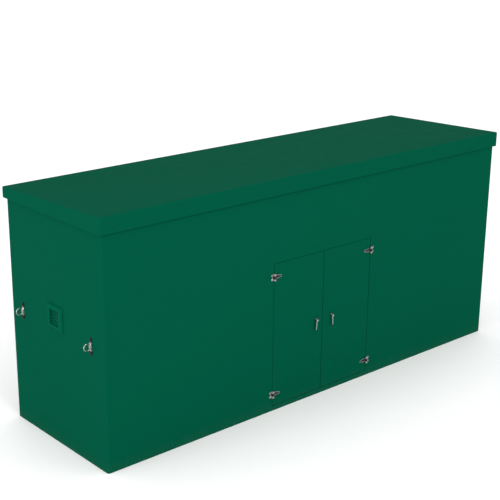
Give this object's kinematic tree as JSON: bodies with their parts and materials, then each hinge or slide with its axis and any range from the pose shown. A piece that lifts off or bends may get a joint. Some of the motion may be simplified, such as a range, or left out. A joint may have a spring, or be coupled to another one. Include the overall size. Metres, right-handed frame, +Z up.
{
  "type": "backflow preventer",
  "caption": "Insulated green enclosure with a low-fall roof, double doors, end vents and eye plates, holding a flanged reduced-pressure backflow preventer on its risers.",
  "frame": {"origin": "centre of the walls' footprint, on the slab, which is also the centre of the anchor holes", "axes": "+X along the length, the way the water flows; the doors face -Y; +Z up"},
  "size_m": [3.673, 1.086, 1.6087],
  "materials": {
    "green_grp": "satin",
    "green_vent": "satin",
    "foam": "matte",
    "white_grp": "satin",
    "epdm": "matte",
    "galvanised": "satin",
    "frame_aluminium": "satin",
    "stainless": "polished",
    "zinc_steel": "satin",
    "black_nylon": "matte",
    "epoxy_iron": "satin",
    "coated_pipe": "satin",
    "red_wheel": "gloss",
    "steel_stem": "polished",
    "bronze": "satin",
    "copper": "polished"
  },
  "bodies": {
    "enclosure": {"base_frame": "galvanised", "ceiling_liner": "white_grp", "check_body": "epoxy_iron", "cover_bolts": "zinc_steel", "door_frame": "frame_aluminium", "end_vents": "green_vent", "eye_plates": "stainless", "flange_bolts": "zinc_steel", "gate_bodies": "epoxy_iron", "gate_bonnets": "epoxy_iron", "hinge_leaves": "stainless", "hinge_pins": "stainless", "inner_liner": "white_grp", "outer_shell": "green_grp", "pipe_elbows": "coated_pipe", "pipe_gaskets": "epdm", "pipe_risers": "coated_pipe", "pipe_stands": "galvanised", "relief_body": "epoxy_iron", "relief_spring": "zinc_steel", "roof_cap": "green_grp", "roof_insulation": "foam", "sensing_line": "copper", "test_cocks": "bronze", "valve_covers": "epoxy_iron", "wall_insulation": "foam", "wall_seals": "epdm"},
    "left_door": {"left_door_skin": "green_grp", "left_door_insulation": "foam", "left_door_liner": "white_grp", "left_door_seal": "epdm", "left_hinge_straps": "stainless", "left_handle_plate": "black_nylon", "left_rod_guides": "black_nylon"},
    "left_handle_and_disc": {"left_handle": "stainless", "left_latch_disc": "zinc_steel"},
    "left_upper_rod": {"left_upper_rod": "zinc_steel"},
    "left_lower_rod": {"left_lower_rod": "zinc_steel"},
    "right_door": {"right_door_skin": "green_grp", "right_door_insulation": "foam", "right_door_liner": "white_grp", "right_door_seal": "epdm", "right_hinge_straps": "stainless", "right_handle_plate": "black_nylon", "right_rod_guides": "black_nylon"},
    "right_handle_and_disc": {"right_handle": "stainless", "right_latch_disc": "zinc_steel"},
    "right_upper_rod": {"right_upper_rod": "zinc_steel"},
    "right_lower_rod": {"right_lower_rod": "zinc_steel"},
    "inlet_handwheel": {"inlet_handwheel": "red_wheel"},
    "inlet_stem": {"inlet_stem": "steel_stem"},
    "inlet_check_clapper": {"inlet_check_clapper": "bronze"},
    "outlet_handwheel": {"outlet_handwheel": "red_wheel"},
    "outlet_stem": {"outlet_stem": "steel_stem"},
    "outlet_check_clapper": {"outlet_check_clapper": "bronze"},
    "relief_piston": {"relief_piston": "bronze"},
    "test_cock_lever_1": {"test_cock_lever_1": "zinc_steel"},
    "test_cock_lever_2": {"test_cock_lever_2": "zinc_steel"},
    "test_cock_lever_3": {"test_cock_lever_3": "zinc_steel"},
    "test_cock_lever_4": {"test_cock_lever_4": "zinc_steel"}
  },
  "joints": [
    {"name": "left_door_hinge", "type": "hinge", "parent": "enclosure", "child": "left_door", "pos_m": [-0.455, -0.529, 0.5], "axis": [0, 0, -1], "range_deg": [0, 165]},
    {"name": "left_handle_turn", "type": "hinge", "parent": "left_door", "child": "left_handle_and_disc", "pos_m": [-0.066, -0.52, 0.568], "axis": [0, 1, 0], "range_deg": [0, 90]},
    {"name": "left_upper_rod_slide", "type": "slide", "parent": "left_door", "child": "left_upper_rod", "axis": [0, 0, 1], "range_m": [0, 0.0227]},
    {"name": "left_lower_rod_slide", "type": "slide", "parent": "left_door", "child": "left_lower_rod", "axis": [0, 0, -1], "range_m": [0, 0.0227]},
    {"name": "right_door_hinge", "type": "hinge", "parent": "enclosure", "child": "right_door", "pos_m": [0.455, -0.529, 0.5], "axis": [0, 0, 1], "range_deg": [0, 165]},
    {"name": "right_handle_turn", "type": "hinge", "parent": "right_door", "child": "right_handle_and_disc", "pos_m": [0.082, -0.52, 0.568], "axis": [0, -1, 0], "range_deg": [0, 90]},
    {"name": "right_upper_rod_slide", "type": "slide", "parent": "right_door", "child": "right_upper_rod", "axis": [0, 0, 1], "range_m": [0, 0.0227]},
    {"name": "right_lower_rod_slide", "type": "slide", "parent": "right_door", "child": "right_lower_rod", "axis": [0, 0, -1], "range_m": [0, 0.0227]},
    {"name": "inlet_handwheel_turn", "type": "hinge", "parent": "enclosure", "child": "inlet_handwheel", "pos_m": [-0.849, 0, 1.13], "axis": [0, 0, -1], "range_deg": [0, 9000]},
    {"name": "inlet_stem_slide", "type": "slide", "parent": "enclosure", "child": "inlet_stem", "axis": [0, 0, -1], "range_m": [0, 0.2171]},
    {"name": "inlet_check_swing", "type": "hinge", "parent": "enclosure", "child": "inlet_check_clapper", "pos_m": [-0.4, 0, 0.606], "axis": [0, -1, 0], "range_deg": [0, 60], "stiffness_Nm_per_rad": 1, "springref_deg": -17.19},
    {"name": "outlet_handwheel_turn", "type": "hinge", "parent": "enclosure", "child": "outlet_handwheel", "pos_m": [0.849, 0, 1.13], "axis": [0, 0, -1], "range_deg": [0, 9000]},
    {"name": "outlet_stem_slide", "type": "slide", "parent": "enclosure", "child": "outlet_stem", "axis": [0, 0, -1], "range_m": [0, 0.2171]},
    {"name": "outlet_check_swing", "type": "hinge", "parent": "enclosure", "child": "outlet_check_clapper", "pos_m": [0.2, 0, 0.606], "axis": [0, -1, 0], "range_deg": [0, 60], "stiffness_Nm_per_rad": 1, "springref_deg": -17.19},
    {"name": "relief_piston_slide", "type": "slide", "parent": "enclosure", "child": "relief_piston", "axis": [0, 0, -1], "range_m": [0, 0.012], "stiffness_N_per_m": 2000, "springref_m": -0.02, "deforming": ["relief_spring"]},
    {"name": "test_cock_1_turn", "type": "hinge", "parent": "enclosure", "child": "test_cock_lever_1", "pos_m": [-0.93, -0.166, 0.5], "axis": [0, 0, -1], "range_deg": [0, 90]},
    {"name": "test_cock_2_turn", "type": "hinge", "parent": "enclosure", "child": "test_cock_lever_2", "pos_m": [-0.52, -0.166, 0.5], "axis": [0, 0, -1], "range_deg": [0, 90]},
    {"name": "test_cock_3_turn", "type": "hinge", "parent": "enclosure", "child": "test_cock_lever_3", "pos_m": [0.11, -0.166, 0.5], "axis": [0, 0, -1], "range_deg": [0, 90]},
    {"name": "test_cock_4_turn", "type": "hinge", "parent": "enclosure", "child": "test_cock_lever_4", "pos_m": [0.52, -0.166, 0.5], "axis": [0, 0, -1], "range_deg": [0, 90]}
  ],
  "couplings": [
    {"joint": "left_upper_rod_slide", "follows": "left_handle_turn", "m_per_rad": 0.014405},
    {"joint": "left_lower_rod_slide", "follows": "left_handle_turn", "m_per_rad": 0.014405},
    {"joint": "right_upper_rod_slide", "follows": "right_handle_turn", "m_per_rad": 0.014405},
    {"joint": "right_lower_rod_slide", "follows": "right_handle_turn", "m_per_rad": 0.014405},
    {"joint": "inlet_stem_slide", "follows": "inlet_handwheel_turn", "m_per_rad": 0.0013815},
    {"joint": "outlet_stem_slide", "follows": "outlet_handwheel_turn", "m_per_rad": 0.0013815}
  ]
}
